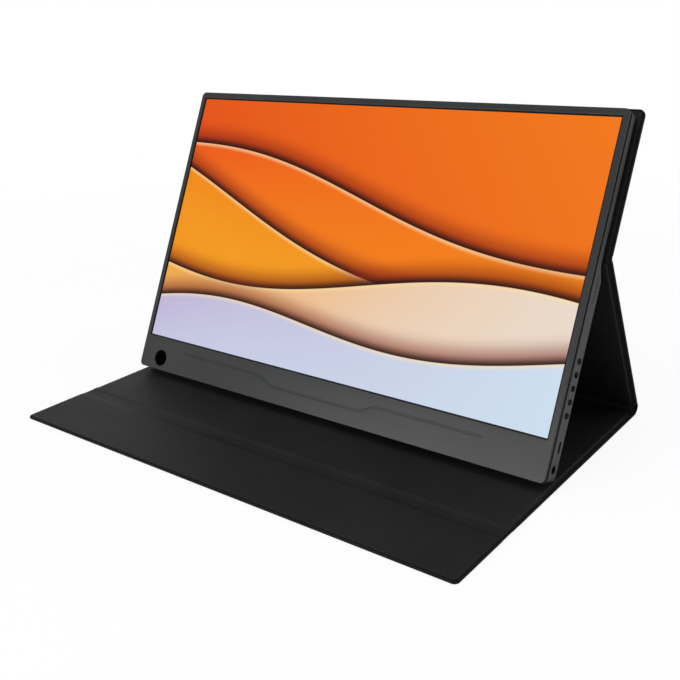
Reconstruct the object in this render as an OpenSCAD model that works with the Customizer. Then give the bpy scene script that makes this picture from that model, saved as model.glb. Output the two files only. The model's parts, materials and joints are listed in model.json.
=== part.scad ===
// Portable monitor standing in its folding cover. Sizes are millimetres.
// X runs to the right of the screen, Y to the back and Z up. The cover's floor panel lies on Z = 0,
// and the origin is under the middle of the whole part.

/* [Screen] */
// Width of the lit picture
screen_w = 344.2; // [300:0.1:380]
// Height of the lit picture
screen_h = 193.6; // [180:0.1:220]
// Black border of the panel that shows around the picture
border = 0.8; // [0.4:0.1:1.4]
// Bezel at each side, from the picture to the edge of the body
side_bezel = 4.7; // [4.4:0.1:9]
// Bezel above the picture
top_bezel = 5.3; // [4.8:0.1:12]
// Chin below the picture
chin_h = 26.5; // [25:0.1:36]

/* [Housing] */
// Radius of the body's four corners
corner_r = 3.5; // [2:0.1:5]
// Thickness of the bezel's front plate
bezel_t = 1; // [0.8:0.1:1.4]
// Width of the dark seam between the bezel and the rear housing
seam_w = 3.2; // [2.2:0.1:3.2]
// Depth of that seam
seam_d = 0.9; // [0.4:0.1:1]
// Thickness of the bezel's inner rim
rim_t = 1; // [0.8:0.1:1.2]
// Wall of the rear housing
wall = 1.8; // [1.6:0.1:2]
// Depth of the body behind the upper part of the picture
upper_depth = 13.6; // [13:0.1:14.4]
// Depth of the body's lower part, which holds the boards
lower_depth = 16.2; // [15.4:0.1:16.4]
// Depth of the body at its foot, the rounded edge that slides on the floor panel
foot_depth = 15.2; // [14.8:0.1:15.4]
// Height at which the foot has widened to the depth of the lower part
foot_v = 18; // [17:0.5:30]
// Height of the deep lower part
bulge_h = 124; // [118:1:128]
// Height of the slope between the deep part and the upper part
bulge_slope = 8; // [3:0.5:9]
// Radius of the upright rear edges of the deep lower part
rear_edge_r = 1; // [0.5:0.1:4]
// Radius of the upright rear edges above it
upper_edge_r = 4.8; // [3:0.1:5.2]
// Width of the line engraved in the chin
groove_w = 0.9; // [0.4:0.1:1.6]
// Depth of that line
groove_d = 0.35; // [0.1:0.05:0.6]

/* [Stance] */
// Lean of the screen, back from upright
tilt = 25.3; // [18:0.1:32]
// Height of the upper fold above the slope on the body's back
kink_rise = 6.4; // [4:0.1:18]
// Outer radius of the cover's rear fold
fold_r = 6; // [5.6:0.1:7.5]

/* [Cover] */
// Width of the cover
cover_w = 360.5; // [356:0.1:380]
// Thickness of the floor panel and the front flap
floor_t = 2.4; // [2:0.1:3]
// Thickness of the leg and the back panel
back_t = 3.2; // [2.8:0.1:4]
// Thickness of the outer skin
skin_t = 0.8; // [0.5:0.1:1]
// Thickness of the lining
lining_t = 0.6; // [0.3:0.1:0.8]
// Width of the turned hem around each stiffening board
hem_w = 5; // [3:0.5:8]
// Radius of the front flap's free corners
flap_corner_r = 3.5; // [3:0.5:12]
// Distance from the body's front edge to the middle of the crease in the floor
crease_ahead = 50; // [44:0.5:60]
// Width of the crease, which has no board
crease_w = 10; // [6:0.5:14]
// Length of the front flap
flap_len = 49.3; // [30:0.1:80]
// Thickness of the skin where the cover folds
fold_t = 1.4; // [1:0.1:2]
// Length of soft skin on each side of the upper fold
kink_gap = 3; // [2:0.1:5]
// Height of the back panel's top above the top of the body
back_rise = 4.4; // [0:0.1:8]
// Radius of the back panel's upper corners
back_corner_r = 4; // [3:0.5:12]

/* [Keys and sockets] */
// Height up the panel of the middle key
key_mid_v = 58.3; // [57:0.1:60]
// Distance from key to key
key_pitch = 8.3; // [7.8:0.1:8.6]
// Height of a key
key_h = 3.4; // [3:0.1:5]
// Depth of a key, front to back
key_d = 4.8; // [3:0.1:5]
// How far a key stands out of the side
key_proud = 0.4; // [0.2:0.1:1]
// Travel of a key
key_travel = 0.4; // [0.2:0.05:0.5]
// Distance of the keys and sockets behind the front face
port_y = 10.8; // [10.6:0.1:11]
// Height of the status light
led_v = 33.1; // [31.5:0.1:34]
// Height of the data socket in the right side
data_v = 22.5; // [20:0.1:25]
// Height of the audio socket
jack_v = 8.9; // [8:0.1:10]
// Distance of the audio socket behind the front face
jack_y = 9.6; // [9:0.1:10]
// Radius of the audio socket's bore
jack_r = 1.8; // [1.76:0.01:1.9]
// Distance of the pen hole from the body's left side
pen_in = 21.1; // [16:0.1:30]
// Height of the pen hole
pen_v = 9.4; // [9.2:0.1:11]
// Radius of the pen hole's sleeve
pen_r = 6.1; // [4:0.1:6.2]
// Height of the middle of the speaker holes
speaker_v = 118; // [112:0.5:119]
// Radius of a speaker hole
speaker_hole_r = 0.55; // [0.3:0.05:0.8]
// Holes in each of the two rows of a speaker
speaker_holes = 8; // [4:1:9]

/* [Hidden] */
$fn = 48;

// Running gap between parts that only lie next to each other
fit = 0.05;
// Gap between the body's bottom edge and the floor panel that it slides on
slide_gap = 0.3;
// Gap between the back panel and the body that its magnets hold it to
seat_gap = 0.1;
// Overshoot of a cut
cut = 1;

// Body
body_w = screen_w + 2 * side_bezel;
body_h = chin_h + screen_h + top_bezel;
side_x = body_w / 2;
inner_x = side_x - wall;
seam_end = bezel_t + seam_w;
// The bottom rear edge is rounded about a line as high as the rear fold's axis
edge_r = fold_r - floor_t - slide_gap;
edge_y = edge_r * sin(tilt) + (foot_depth - edge_r) * cos(tilt);
body_z = fold_r - edge_r * cos(tilt) + (foot_depth - edge_r) * sin(tilt);
slope_z1 = bulge_h + bulge_slope;
upper_in = upper_depth - wall;
lower_in = lower_depth - wall;
foot_in = foot_depth - wall;

// The upper fold's axis lies in the middle of the cover's thickness
kink_v = slope_z1 + kink_rise;
kink_w = upper_depth + seat_gap + back_t / 2;
kink_y = kink_v * sin(tilt) + kink_w * cos(tilt);
kink_z = body_z + kink_v * cos(tilt) - kink_w * sin(tilt);
// The rear fold stands as far from the upper fold as the body's bottom edge does
fold_y = 2 * kink_y - edge_y;
leg_span = norm([fold_y - kink_y, kink_z - fold_r]);
leg_mid = fold_r - back_t / 2;
leg_lean = atan2(fold_y - kink_y, kink_z - fold_r) + asin(leg_mid / leg_span);
leg_top = sqrt(leg_span * leg_span - leg_mid * leg_mid);

// Floor
crease_rear = -crease_ahead + crease_w / 2;
crease_front = -crease_ahead - crease_w / 2;
front_y = crease_front - flap_len;
rear_y = fold_y + fold_r;
frame_y = (front_y + rear_y) / 2;

// Picture and the layers behind it, from the front
open_w = screen_w + 2 * border;
open_z0 = chin_h - border;
open_z1 = chin_h + screen_h + border;
lap = 1;
driver_ledge = 5;
cell_t = 1.2;
film_t = 0.3;
guide_t = 0.7;
reflector_t = 0.2;
tray_t = 0.5;
tray_wall = 0.7;
cell_w = open_w + 2 * lap;
cell_z0 = open_z0 - driver_ledge;
cell_z1 = open_z1 + lap;
cell_y0 = bezel_t + fit;
film_y0 = cell_y0 + cell_t + fit;
guide_y0 = film_y0 + film_t + fit;
reflector_y0 = guide_y0 + guide_t + fit;
tray_y0 = reflector_y0 + reflector_t + fit;
tray_y1 = tray_y0 + tray_t;
pocket_w = cell_w - 2 * tray_wall;
pocket_z0 = cell_z0 + tray_wall;
pocket_z1 = cell_z1 - tray_wall;
led_h = 3;
sheet_gap = 0.15;
sheet_w = pocket_w - 2 * sheet_gap;
sheet_z0 = pocket_z0 + led_h + 2 * sheet_gap;
sheet_z1 = pocket_z1 - sheet_gap;

// Boards stand behind the panel, with their sockets on the rear face
board_t = 1.2;
board_y1 = port_y - 1.6;
board_y0 = board_y1 - board_t;
board_edge = inner_x - 0.3;
main_w = 104;
main_z0 = 30;
main_z1 = 96;
main_x1 = -board_edge + main_w;
side_w = 46;
side_x0 = board_edge - side_w;
side_z0 = 3.4;
side_z1 = 37;
timing_w = 200;
timing_z0 = 22;
timing_z1 = 38;
timing_t = 0.8;
timing_y0 = tray_y1 + fit;
plug_t = 1.1;
timing_y2 = timing_y0 + timing_t + plug_t;

// Keys
key_gap = 0.2;
flange_t = 0.7;
flange_over = 0.8;
switch_gap = key_travel + 0.1;
switch_t = 1.6;
flange_x = inner_x - 0.1;
switch_x = flange_x - flange_t - switch_gap;
key_board_x = switch_x - switch_t;
key_names = 5;
key_board_z1 = key_mid_v + 2.5 * key_pitch;

// Sockets
data_w = 7.5;
data_h = 2.5;
type_c_w = 8.94;
type_c_h = 3.16;
hdmi_w = 10.9;
hdmi_h = 3.1;
shell_t = 0.3;
socket_len = 7;
type_c_low_v = 62;
type_c_high_v = 78;
hdmi_v = 45;
jack_ring_r = 2.8;
jack_body_h = 6.2;
jack_body_d = 5;
jack_len = 13.5;
jack_bore_len = 12.5;

// Pen hole
pen_x = -side_x + pen_in;
pen_wall = 0.8;
pen_mouth_r = pen_r + 0.2;

// Speakers
speaker_w = 24;
speaker_h = 26;
speaker_y0 = tray_y1 + 0.3;
speaker_y1 = upper_in - 0.2;
speaker_x0 = inner_x - fit - speaker_w;
speaker_pitch = 2.1;
speaker_rows = [-1.1, 1.1];
lead_r = 0.55;
lead_v = speaker_v - 8;
lead_y = tray_y1 + 1.6;
lead_x = main_x1 - 16;
lead_step = 6;
lead_plug_h = 5;
lead_plug_z1 = main_z1 - 3;

// Screws
screw_v = 10.5;
screw_xs = [-120, -40, 40, 108];
screw_r = 1.15;
screw_hole_r = 1.2;
screw_head_r = 2.3;
screw_head_t = 1.1;
screw_head_y1 = foot_depth - 0.5;
screw_head_y0 = screw_head_y1 - screw_head_t;
boss_r = 3;
boss_y = board_y1;
board_screw_r = 0.9;
board_hole_r = 1;
board_boss_r = 2.4;
board_head_r = 1.9;
board_head_t = 0.9;
board_screws_at = [
    [-board_edge + 24, main_z1 - 7], [main_x1 - 6, main_z1 - 7],
    [-board_edge + 24, main_z0 + 5], [main_x1 - 6, main_z0 + 14],
    [side_x0 + 18, side_z1 - 5], [side_x0 + 5, side_z0 + 5]
];

// Steel plate that the cover's magnets hold on to
plate_w = 220;
plate_h = 54;
plate_t = 0.5;
plate_z0 = kink_v + 12;
plate_z1 = plate_z0 + plate_h;
magnet_r = 5;
magnet_xs = [-80, 0, 80];
magnet_vs = [plate_z0 + 10, plate_z1 - 10];

// Ribs inside the back of the housing
rib_t = 1.2;
rib_gap = 10;
rib_step = 36;
rib_xs = [plate_w / 2 + rib_gap, plate_w / 2 + rib_gap + rib_step];
rib_z0 = speaker_v + speaker_h / 2 + 2;

// Back panel
back_z0 = kink_v + kink_gap;
back_z1 = body_h + back_rise;
back_y0 = upper_depth + seat_gap;

// Places a piece in the body's own frame: X right, Y back through it, Z up the panel
module in_body() {
    translate([0, -frame_y, body_z]) rotate([-tilt, 0, 0]) children();
}

// Places a piece in the leg's frame: Y out of its outer face, Z up along it from the rear fold's axis
module in_leg() {
    translate([0, fold_y - frame_y, fold_r]) rotate([leg_lean, 0, 0]) children();
}

// Places a piece on the floor, with Y = 0 under the body's front edge
module on_floor() {
    translate([0, -frame_y, 0]) children();
}

// Extrudes an outline drawn across and up, from one depth to another
module slab(y0, y1) {
    translate([0, y1, 0]) rotate([90, 0, 0]) linear_extrude(y1 - y0) children();
}

// Box from one corner to the opposite one
module span(a, b) {
    translate(a) cube(b - a);
}

// Cylinder along X
module rod_x(x0, x1, r) {
    translate([x0, 0, 0]) rotate([0, 90, 0]) cylinder(h = x1 - x0, r = r);
}

// Cylinder along Y
module rod_y(y0, y1, r) {
    translate([0, y1, 0]) rotate([90, 0, 0]) cylinder(h = y1 - y0, r = r);
}

// Rectangle standing on the X axis, with four round corners
module round_rect(w, h, r) {
    translate([-w / 2 + r, 0]) square([w - 2 * r, h]);
    translate([-w / 2, r]) square([w, h - 2 * r]);
    for (x = [-w / 2 + r, w / 2 - r], y = [r, h - r]) translate([x, y]) circle(r);
}

// Stadium about the origin, w across and h up
module stadium(w, h) {
    r = min(w, h) / 2;
    square([w, h] - (w > h ? [2 * r, 0] : [0, 2 * r]), center = true);
    for (s = [-1, 1]) translate(s * [w / 2 - r, h / 2 - r]) circle(r);
}

// Outline of a cover panel from Y = 0 to its free end, whose corners are round
module panel_outline(w, len, r) {
    translate([-w / 2, 0]) square([w, len - r]);
    translate([-w / 2 + r, len - r]) square([w - 2 * r, r]);
    for (s = [-1, 1]) translate([s * (w / 2 - r), len - r]) circle(r);
}

// Outline of the stiffening board inside such a panel
module board_outline(len) {
    translate([-cover_w / 2 + hem_w, hem_w]) square([cover_w - 2 * hem_w, len - 2 * hem_w]);
}

// Outline of a panel, with corners of radius r at its free end; a panel without a free end has no radius
module cover_outline(len, r) {
    if (r > 0) panel_outline(cover_w, len, r);
    else translate([-cover_w / 2, 0]) square([cover_w, len]);
}

// Outer skin lying face down, with its hem turned in around the board
module skin_piece(len, t, r) {
    difference() {
        linear_extrude(t - lining_t) cover_outline(len, r);
        translate([0, 0, skin_t]) linear_extrude(t) board_outline(len);
    }
}

// Stiffening board
module board_piece(len, t) {
    translate([0, 0, skin_t]) linear_extrude(t - skin_t - lining_t) board_outline(len);
}

// Lining over hem and board
module lining_piece(len, t, r) {
    translate([0, 0, t - lining_t]) linear_extrude(lining_t) cover_outline(len, r);
}

floor_len = fold_y - crease_rear;
leg_len = leg_top - kink_gap;
back_len = back_z1 - back_z0;

// Seats of the four panels: each is drawn lying on its outer face with Y along its length
module seat_floor() { on_floor() translate([0, crease_rear, 0]) children(); }
module seat_flap() { on_floor() translate([0, crease_front, 0]) mirror([0, 1, 0]) children(); }
module seat_leg() { in_leg() translate([0, fold_r, 0]) rotate([90, 0, 0]) children(); }
module seat_back() { in_body() translate([0, back_y0 + back_t, back_z0]) rotate([90, 0, 0]) children(); }

module floor_skin() { color("#242424") seat_floor() skin_piece(floor_len, floor_t, 0); }
module floor_board() { color("#8a7a62") seat_floor() board_piece(floor_len, floor_t); }
module floor_lining() { color("#303030") seat_floor() lining_piece(floor_len, floor_t, 0); }

module flap_skin() { color("#242424") seat_flap() skin_piece(flap_len, floor_t, flap_corner_r); }
module flap_board() { color("#8a7a62") seat_flap() board_piece(flap_len, floor_t); }
module flap_lining() { color("#343434") seat_flap() lining_piece(flap_len, floor_t, flap_corner_r); }

module leg_skin() { color("#242424") seat_leg() skin_piece(leg_len, back_t, 0); }
module leg_board() { color("#8a7a62") seat_leg() board_piece(leg_len, back_t); }
module leg_lining() { color("#1c1c1c") seat_leg() lining_piece(leg_len, back_t, 0); }

module back_skin() { color("#242424") seat_back() skin_piece(back_len, back_t, back_corner_r); }
module back_lining() { color("#1c1c1c") seat_back() lining_piece(back_len, back_t, back_corner_r); }

// Places a piece at each of the cover's magnets
module at_magnets() {
    for (x = magnet_xs, v = magnet_vs) translate([x, v - back_z0, 0]) children();
}

module back_board() {
    color("#8a7a62") seat_back() difference() {
        board_piece(back_len, back_t);
        at_magnets() cylinder(h = back_t, r = magnet_r + fit);
    }
}

module cover_magnets() {
    color("#b8bcc2") seat_back() at_magnets() translate([0, 0, skin_t])
        cylinder(h = back_t - skin_t - lining_t, r = magnet_r);
}

// Unstiffened strip between the floor panel and the front flap, a little thinner than both
module crease_fold() {
    color("#2a2a2a") on_floor() span([-cover_w / 2, crease_front, (floor_t - fold_t) / 2],
        [cover_w / 2, crease_rear, (floor_t + fold_t) / 2]);
}

// Spine of the cover, curled from the floor panel up to the leg
module rear_fold() {
    far = 3 * fold_r;
    color("#242424") translate([0, fold_y - frame_y, fold_r]) rotate([90, 0, 90])
        translate([0, 0, -cover_w / 2]) linear_extrude(cover_w) intersection() {
            difference() {
                circle(fold_r, $fn = 96);
                circle(fold_r - fold_t, $fn = 96);
            }
            polygon([[0, 0], [0, -far], [far, -far], far * [cos(leg_lean), sin(leg_lean)]]);
        }
}

// Skin that turns from the leg into the back panel
module kink_fold() {
    half = fold_t / 2;
    color("#202020") {
        in_leg() span([-cover_w / 2, leg_mid - half, leg_len], [cover_w / 2, leg_mid + half, leg_top]);
        in_body() {
            span([-cover_w / 2, kink_w - half, kink_v], [cover_w / 2, kink_w + half, back_z0]);
            translate([0, kink_w, kink_v]) rod_x(-cover_w / 2, cover_w / 2, 1.2 * half);
        }
    }
}

// Line engraved in the chin: level at both sides, stepping down to a lower run in the middle
groove_out = 131;
groove_step = 11;
groove_in = 40;
groove_v = 17.3;
groove_low = 11.6;
module groove_outline() {
    half = groove_w / 2;
    // The line's corners are mitred, half of each turn to each side
    mitre = half * tan(atan2(groove_v - groove_low, groove_step) / 2);
    high = groove_in + groove_step;
    right = [[groove_in - mitre, groove_low + half], [high - mitre, groove_v + half],
        [groove_out, groove_v + half], [groove_out, groove_v - half],
        [high + mitre, groove_v - half], [groove_in + mitre, groove_low - half]];
    left = [for (i = [len(right) - 1 : -1 : 0]) [-right[i][0], right[i][1]]];
    polygon(concat(right, left));
}

// Screw bosses behind the chin
module bezel_bosses() {
    for (x = screw_xs) translate([x, 0, screw_v]) difference() {
        rod_y(bezel_t, boss_y, boss_r);
        rod_y(bezel_t + cut, boss_y + cut, screw_hole_r);
    }
}

module front_bezel() {
    color("#4a4a4c") in_body() {
        difference() {
            slab(0, bezel_t) round_rect(body_w, body_h, corner_r);
            slab(-cut, bezel_t + cut) translate([-open_w / 2, open_z0]) square([open_w, open_z1 - open_z0]);
            slab(-cut, groove_d) groove_outline();
            translate([pen_x, 0, pen_v]) rod_y(-cut, bezel_t + cut, pen_mouth_r);
        }
        slab(bezel_t, seam_end) difference() {
            translate([0, seam_d]) round_rect(body_w - 2 * seam_d, body_h - 2 * seam_d, corner_r - seam_d);
            translate([-side_x + seam_d + rim_t, seam_d + rim_t])
                square([body_w - 2 * (seam_d + rim_t), body_h - 2 * (seam_d + rim_t)]);
        }
        bezel_bosses();
    }
}

// Side view of the housing's outside, drawn depth across and height up
module housing_profile() {
    polygon([[seam_end, 0], [foot_depth - edge_r, 0], [foot_depth, edge_r], [lower_depth, foot_v],
        [lower_depth, bulge_h], [upper_depth, slope_z1], [upper_depth, body_h], [seam_end, body_h]]);
    translate([foot_depth - edge_r, edge_r]) circle(edge_r, $fn = 96);
}

// Top view of a block of the housing, x1 wide on each side, with its rear corners round
module housing_plan(x1, y0, y1, r) {
    translate([-x1, y0]) square([2 * x1, y1 - r - y0]);
    translate([-x1 + r, y0]) square([2 * (x1 - r), y1 - y0]);
    for (s = [-1, 1]) translate([s * (x1 - r), y1 - r]) circle(r);
}

// Top views of the outside of the deep lower part and of the upper part
module lower_plan() { housing_plan(side_x, seam_end, lower_depth, rear_edge_r); }
module upper_plan() { housing_plan(side_x, seam_end, upper_depth, upper_edge_r); }

// The slope between the two parts also carries their sharp rear edges over into the rounder ones
module housing_outside() {
    intersection() {
        slab(seam_end, lower_depth) round_rect(body_w, body_h, corner_r);
        translate([-side_x, 0, 0]) rotate([90, 0, 90]) linear_extrude(body_w) housing_profile();
        union() {
            linear_extrude(bulge_h) lower_plan();
            hull() {
                translate([0, 0, bulge_h - cut]) linear_extrude(cut) lower_plan();
                translate([0, 0, slope_z1]) linear_extrude(cut) upper_plan();
            }
            translate([0, 0, slope_z1]) linear_extrude(body_h - slope_z1) upper_plan();
        }
    }
}

module housing_inside() {
    y0 = seam_end - cut;
    span([-inner_x, y0, wall], [inner_x, foot_in, foot_v + cut]);
    span([-inner_x, y0, foot_v], [inner_x, lower_in, bulge_h - wall]);
    span([-inner_x, y0, foot_v], [inner_x, upper_in, slope_z1]);
    translate([0, 0, slope_z1 - cut]) linear_extrude(body_h - wall - slope_z1 + cut)
        housing_plan(inner_x, y0, upper_in, upper_edge_r - wall);
}

// Ribs that back the panel, and tubes and bosses that the screws use
module housing_ribs() {
    for (s = [-1, 1], x = rib_xs)
        span([s * x - rib_t / 2, tray_y1 + 0.1, rib_z0], [s * x + rib_t / 2, upper_in, body_h - wall]);
    for (x = screw_xs) translate([x, 0, screw_v]) rod_y(boss_y + fit, lower_in, boss_r + 0.4);
    for (p = board_screws_at) translate([p[0], 0, p[1]]) rod_y(board_y1, lower_in, board_boss_r);
}

// Places a piece at each speaker hole of one side
module at_speaker_holes() {
    for (i = [0 : speaker_holes - 1], row = speaker_rows)
        translate([0, port_y - 0.7 + row, speaker_v + (i - (speaker_holes - 1) / 2) * speaker_pitch
            + sign(row) * speaker_pitch / 4]) children();
}

// Places a piece at each of the five keys
module at_key(i) {
    translate([0, port_y, key_mid_v + (2 - i) * key_pitch]) children();
}

// Rounded cut or plug along X, as high and as deep as a socket
module socket_bar(x0, x1, d, h) {
    translate([x0, 0, 0]) rotate([90, 0, 90]) linear_extrude(x1 - x0) stadium(d, h);
}

module housing_cuts() {
    x0 = inner_x - cut;
    x1 = side_x + cut;
    for (i = [0 : key_names - 1]) at_key(i) socket_bar(x0, x1, key_d + 2 * key_gap, key_h + 2 * key_gap);
    translate([0, port_y, led_v]) rod_x(x0, x1, 0.8);
    translate([0, port_y, data_v]) socket_bar(x0, x1, data_h + 2 * key_gap, data_w + 2 * key_gap);
    translate([0, jack_y, jack_v]) rod_x(x0, x1, jack_ring_r + fit);
    for (v = [type_c_low_v, type_c_high_v]) translate([0, port_y, v])
        socket_bar(-x1, -x0, type_c_h + 2 * key_gap, type_c_w + 2 * key_gap);
    translate([0, port_y, hdmi_v]) socket_bar(-x1, -x0, hdmi_h + 2 * key_gap, hdmi_w + 2 * key_gap);
    for (m = [0, 1]) mirror([m, 0, 0]) at_speaker_holes() rod_x(x0, x1, speaker_hole_r, $fn = 16);
    translate([pen_x, 0, pen_v]) rod_y(foot_in - cut, lower_depth + cut, pen_mouth_r);
    for (x = screw_xs) translate([x, 0, screw_v]) {
        rod_y(boss_y - cut, lower_depth + cut, screw_hole_r);
        rod_y(screw_head_y0, lower_depth + cut, screw_head_r + 0.1);
    }
    for (p = board_screws_at)
        translate([p[0], 0, p[1]]) rod_y(board_y1 - cut, lower_in - 0.6, board_screw_r + fit);
}

module rear_housing() {
    color("#454547") in_body() difference() {
        union() {
            difference() {
                housing_outside();
                housing_inside();
            }
            housing_ribs();
        }
        housing_cuts();
    }
}

// Sheet as large as the light guide, from one depth to another
module sheet(y0, y1) {
    span([-sheet_w / 2, y0, sheet_z0], [sheet_w / 2, y1, sheet_z1]);
}

module lcd_cell() {
    color("#20242c") in_body()
        span([-cell_w / 2, cell_y0, cell_z0], [cell_w / 2, cell_y0 + cell_t, cell_z1]);
}
module optical_films() { color("#e8e8ec") in_body() sheet(film_y0, film_y0 + film_t); }
module light_guide() { color("#cfe0ea") in_body() sheet(guide_y0, guide_y0 + guide_t); }
module reflector_sheet() { color("#f4f4f4") in_body() sheet(reflector_y0, reflector_y0 + reflector_t); }

// Strip with a row of light emitters that face up into the light guide
module backlight_bar() {
    emitters = 36;
    emitter_w = 5;
    strip_h = 1.4;
    step = (sheet_w - emitter_w) / (emitters - 1);
    z0 = pocket_z0 + sheet_gap;
    color("#f2e6b8") in_body() {
        span([-sheet_w / 2, film_y0, z0], [sheet_w / 2, reflector_y0 - fit, z0 + strip_h]);
        for (i = [0 : emitters - 1]) translate([-sheet_w / 2 + i * step, 0, z0])
            span([0, guide_y0, strip_h], [emitter_w, guide_y0 + guide_t, led_h]);
    }
}

// Tray of the panel, with a wall around the sheets
module panel_tray() {
    color("#9aa0a6") in_body() {
        span([-cell_w / 2, tray_y0, cell_z0], [cell_w / 2, tray_y1, cell_z1]);
        slab(cell_y0 + cell_t, tray_y0) translate([0, cell_z0]) difference() {
            translate([-cell_w / 2, 0]) square([cell_w, cell_z1 - cell_z0]);
            translate([-pocket_w / 2, tray_wall]) square([pocket_w, pocket_z1 - pocket_z0]);
        }
    }
}

cable_v = 31.5;
cable_h = 5;
timing_plug_x = -50;
plug_w = 12;
main_plug_in = 41.3;
main_plug_x = main_x1 - main_plug_in;

// Timing board on the back of the tray, with the display cable's plug
module timing_board() {
    color("#2f6b46") in_body() {
        span([-timing_w / 2, timing_y0, timing_z0], [timing_w / 2, timing_y0 + timing_t, timing_z1]);
        span([timing_plug_x - plug_w, timing_y0 + timing_t, cable_v],
            [timing_plug_x, timing_y2, cable_v + cable_h]);
    }
}

// Flat cable from the main board to the timing board
module display_cable() {
    color("#c9a24a") in_body()
        span([main_plug_x, timing_y2, cable_v], [timing_plug_x, timing_y2 + 0.2, cable_v + cable_h]);
}

// Circuit board with screw holes, in the plane of the panel
module board_plate(x0, x1, z0, z1) {
    difference() {
        span([x0, board_y0, z0], [x1, board_y1, z1]);
        for (p = board_screws_at)
            translate([p[0], 0, p[1]]) rod_y(board_y0 - cut, board_y1 + cut, board_hole_r);
    }
}

ribbon_t = 0.2;
ribbon_plug_t = 0.9;
ribbon_y1 = board_y0 - ribbon_plug_t;
ribbon_in = 12;

module main_board() {
    color("#1f6a3a") in_body() {
        board_plate(-board_edge, main_x1, main_z0, main_z1);
        span([main_plug_x, timing_y2 + 0.2, cable_v], [main_plug_x + plug_w, board_y0, cable_v + cable_h]);
        span([main_x1 - ribbon_in, ribbon_y1, cable_v], [main_x1 - 2, board_y0, cable_v + cable_h]);
        span([lead_x - 2, lead_y - 1, lead_plug_z1 - lead_plug_h],
            [lead_x + lead_step + 2, board_y0, lead_plug_z1]);
    }
}

// Picture processor, memory and power chips on the main board's front face
module board_chips() {
    chip_t = 1;
    // Each chip's distance from the board's inner end, its height above the board's foot, and its size
    chips = [[57.3, 28, 16], [33.3, 32, 9], [79.3, 32, 8], [79.3, 16, 7], [21.3, 22, 6]];
    color("#18181a") in_body() for (c = chips) {
        x = main_x1 - c[0];
        z = main_z0 + c[1];
        span([x, board_y0 - chip_t, z], [x + c[2], board_y0, z + c[2]]);
    }
}

module side_board() {
    color("#1f6a3a") in_body() {
        difference() {
            board_plate(side_x0, board_edge, side_z0, side_z1);
            span([board_edge - jack_len, board_y0 - cut, side_z0 - cut],
                [board_edge + cut, board_y1 + cut, jack_v + jack_body_h / 2 + 0.2]);
        }
        span([side_x0 + 2, ribbon_y1, cable_v], [side_x0 + ribbon_in, board_y0, cable_v + cable_h]);
    }
}

// Flat ribbon from the side board to the main board
module ribbon_cable() {
    color("#d8d4c8") in_body() span([main_x1 - ribbon_in, ribbon_y1 - ribbon_t, cable_v + 0.5],
        [side_x0 + ribbon_in, ribbon_y1, cable_v + cable_h - 0.5]);
}

// Board that stands behind the keys, with a foot that joins it to the side board
module key_board() {
    y0 = port_y - 3.2;
    y1 = port_y + 2.4;
    color("#1f6a3a") in_body()
        span([key_board_x - board_t, y0, side_z1 + fit], [key_board_x, y1, key_board_z1]);
}

// Small press switches, one behind each key
module key_switches() {
    color("#b0b4b8") in_body() for (i = [0 : key_names - 1]) at_key(i) {
        span([key_board_x, -1.5, -1.5], [switch_x - 0.5, 1.5, 1.5]);
        rod_x(switch_x - 0.5, switch_x, 0.8);
    }
}

// Key: a cap that stands a little out of the side, with a flange that keeps it in
module key(i) {
    color("#0e0e0f") in_body() at_key(i) {
        socket_bar(flange_x, side_x + key_proud, key_d, key_h);
        socket_bar(flange_x - flange_t, flange_x, key_d + 2 * flange_over, key_h + 2 * flange_over);
    }
}
module menu_key() { key(0); }
module up_key() { key(1); }
module down_key() { key(2); }
module back_key() { key(3); }
module power_key() { key(4); }

// Status light: an emitter on the side board and its lens in the wall
module status_light() {
    color("#9fb8c8") in_body() translate([0, port_y, led_v]) {
        span([board_edge - 3, board_y1 - port_y, -1.4], [inner_x, 1.4, 1.4]);
        rod_x(inner_x, side_x, 0.75);
    }
}

// Metal shell of a socket with its tongue; it opens towards +X
module socket_shell(d, h) {
    x1 = side_x - 0.4;
    x0 = x1 - socket_len;
    difference() {
        socket_bar(x0, x1, d, h);
        socket_bar(x0 + 1, x1 + cut, d - 2 * shell_t, h - 2 * shell_t);
    }
    span([x0 + 1, -0.35, -h / 2 + d / 2], [x1 - 1, 0.35, h / 2 - d / 2]);
}

// Foot between a socket and the board that carries it
module socket_foot(d, h) {
    x0 = side_x - 0.4 - socket_len;
    if (port_y - d / 2 > board_y1)
        span([x0, board_y1 - port_y, -h / 4], [x0 + 4, -d / 2 + shell_t / 2, h / 4]);
}

module data_socket() {
    color("#9a9ea4") in_body() translate([0, port_y, data_v]) {
        socket_shell(data_h, data_w);
        socket_foot(data_h, data_w);
    }
}
module video_sockets() {
    color("#9a9ea4") in_body() mirror([1, 0, 0]) for (v = [type_c_low_v, type_c_high_v])
        translate([0, port_y, v]) {
            socket_shell(type_c_h, type_c_w);
            socket_foot(type_c_h, type_c_w);
        }
}
module hdmi_socket() {
    color("#9a9ea4") in_body() mirror([1, 0, 0]) translate([0, port_y, hdmi_v]) {
        socket_shell(hdmi_h, hdmi_w);
        socket_foot(hdmi_h, hdmi_w);
    }
}

// Audio socket: a block with a round nose in the wall, bored for the plug
module audio_jack() {
    color("#1a1a1c") in_body() translate([0, jack_y, jack_v]) difference() {
        union() {
            span([board_edge - jack_len + 0.2, -jack_body_d / 2, -jack_body_h / 2],
                [inner_x - fit, jack_body_d / 2, jack_body_h / 2]);
            rod_x(inner_x - 2 * fit, side_x - 0.1, jack_ring_r);
        }
        rod_x(side_x - 0.1 - jack_bore_len, side_x + cut, jack_r);
    }
}

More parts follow.
